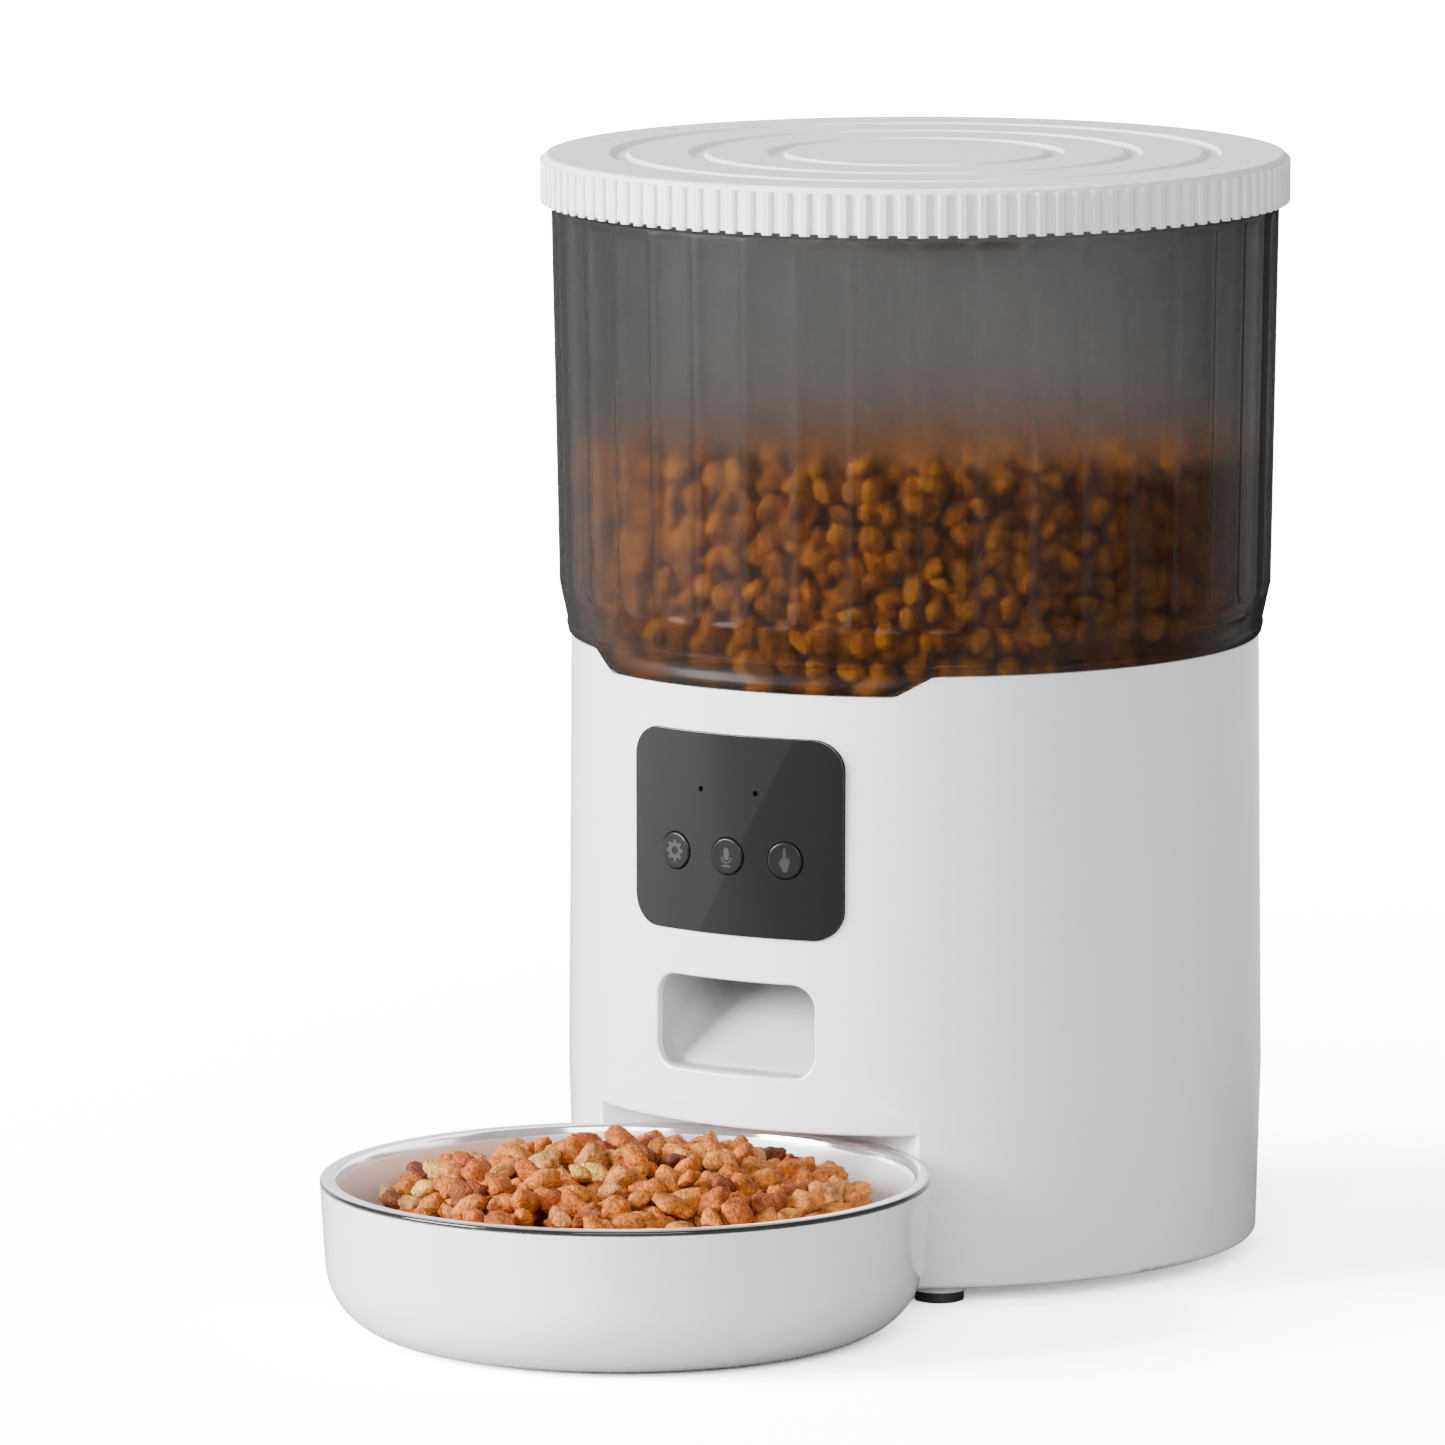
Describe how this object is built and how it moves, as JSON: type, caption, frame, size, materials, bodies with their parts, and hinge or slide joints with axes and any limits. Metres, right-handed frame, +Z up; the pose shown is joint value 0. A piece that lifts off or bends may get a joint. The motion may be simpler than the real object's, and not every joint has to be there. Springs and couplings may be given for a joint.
{
  "type": "automatic pet feeder",
  "caption": "Round countertop feeder with a twist lid, smoked lift-off hopper, motor-driven portion rotor, sloping chute, button panel and slide-out steel bowl",
  "frame": {"origin": "middle of the whole feeder's footprint, on the surface it stands on", "axes": "+Z up, -Y towards the bowl and the control panel, X across the feeder; the body, hopper and lid share one upright axis at x = 0"},
  "size_m": [0.205, 0.3304, 0.303],
  "materials": {
    "white_gloss": "polished",
    "white_satin": "satin",
    "smoked_plastic": "translucent smoked",
    "clear_plastic": "clear, slightly hazy",
    "panel_black": "high gloss",
    "button_black": "satin",
    "bowl_steel": "spun and brushed",
    "silicone_grey": "matt",
    "foot_rubber": "matt",
    "internal_plastic": "moulded",
    "gear_plastic": "moulded acetal",
    "rotor_plastic": "moulded",
    "steel": "bright",
    "motor_steel": "zinc plated",
    "bronze": "sintered",
    "board_green": "solder mask",
    "black_component": "moulded",
    "cell_jacket": "shrink sleeve",
    "led_lens": "clear",
    "pouch_paper": "fibre"
  },
  "bodies": {
    "base": {"base_shell": "white_gloss", "bottom_cover": "white_satin", "foot_pads": "foot_rubber", "cover_screws": "steel", "battery_cells": "cell_jacket", "battery_contacts": "steel", "battery_springs": "steel", "dispenser_well": "internal_plastic", "portion_guard": "internal_plastic", "scraper_strips": "silicone_grey", "discharge_chute": "white_satin", "idler_pins": "steel", "gearbox_case": "internal_plastic", "drive_motor": "motor_steel", "shaft_bush": "bronze", "panel_window": "panel_black", "control_board": "board_green", "tact_switches": "black_component", "status_led": "led_lens", "microphone": "steel", "board_screws": "steel", "main_board": "board_green", "board_components": "black_component", "main_board_screws": "steel", "power_inlet": "black_component", "speaker": "black_component"},
    "door": {"battery_door": "white_satin"},
    "bowl": {"bowl_holder": "white_gloss", "bowl_foot_ring": "silicone_grey"},
    "dish": {"steel_bowl": "bowl_steel"},
    "hopper": {"hopper_tank": "smoked_plastic", "hopper_funnel": "clear_plastic"},
    "lid_carrier": {"lid_seal": "silicone_grey"},
    "lid": {"lid_shell": "white_satin", "desiccant_box": "white_satin", "desiccant_cover": "white_satin", "desiccant_pack": "pouch_paper"},
    "rotor": {"portion_rotor": "rotor_plastic", "drive_shaft": "steel", "output_gear": "gear_plastic"},
    "second_idler": {"idler_gear_b": "gear_plastic"},
    "first_idler": {"idler_gear_a": "gear_plastic"},
    "motor_output": {"motor_pinion": "steel"},
    "left_key": {"left_button": "button_black"},
    "middle_key": {"middle_button": "button_black"},
    "right_key": {"right_button": "button_black"}
  },
  "joints": [
    {"name": "battery_door_swing", "type": "hinge", "parent": "base", "child": "door", "pos_m": [0, 0.10675, 0.0062], "axis": [1, 0, 0], "range_deg": [0, 100]},
    {"name": "bowl_slide", "type": "slide", "parent": "base", "child": "bowl", "axis": [0, -1, 0], "range_m": [0, 0.12]},
    {"name": "bowl_turn", "type": "hinge", "parent": "bowl", "child": "dish", "pos_m": [0, -0.08395, 0.0406], "axis": [0, 0, 1], "continuous": true},
    {"name": "hopper_lift", "type": "slide", "parent": "base", "child": "hopper", "axis": [0, 0, 1], "range_m": [0, 0.06]},
    {"name": "lid_lift", "type": "slide", "parent": "hopper", "child": "lid_carrier", "axis": [0, 0, 1], "range_m": [0, 0.05]},
    {"name": "lid_twist", "type": "hinge", "parent": "lid_carrier", "child": "lid", "pos_m": [0, 0.06265, 0.3], "axis": [0, 0, 1], "range_deg": [-40, 0]},
    {"name": "rotor_spin", "type": "hinge", "parent": "base", "child": "rotor", "pos_m": [0, 0.06265, 0.11], "axis": [0, 0, 1], "continuous": true},
    {"name": "second_idler_spin", "type": "hinge", "parent": "base", "child": "second_idler", "pos_m": [0.01871, 0.07345, 0.103], "axis": [0, 0, 1], "continuous": true},
    {"name": "first_idler_spin", "type": "hinge", "parent": "base", "child": "first_idler", "pos_m": [0, 0.08425, 0.099], "axis": [0, 0, 1], "continuous": true},
    {"name": "motor_spin", "type": "hinge", "parent": "base", "child": "motor_output", "pos_m": [-0.01871, 0.07345, 0.097], "axis": [0, 0, 1], "continuous": true},
    {"name": "left_key_press", "type": "slide", "parent": "base", "child": "left_key", "axis": [0.1814, 0.9834, 0], "range_m": [0, 0.0008], "stiffness_N_per_m": 100},
    {"name": "middle_key_press", "type": "slide", "parent": "base", "child": "middle_key", "axis": [0, 1, 0], "range_m": [0, 0.0008], "stiffness_N_per_m": 100},
    {"name": "right_key_press", "type": "slide", "parent": "base", "child": "right_key", "axis": [-0.1814, 0.9834, 0], "range_m": [0, 0.0008], "stiffness_N_per_m": 100}
  ],
  "couplings": [
    {"joint": "second_idler_spin", "follows": "rotor_spin", "ratio": -3},
    {"joint": "first_idler_spin", "follows": "rotor_spin", "ratio": 9},
    {"joint": "motor_spin", "follows": "rotor_spin", "ratio": -27}
  ]
}
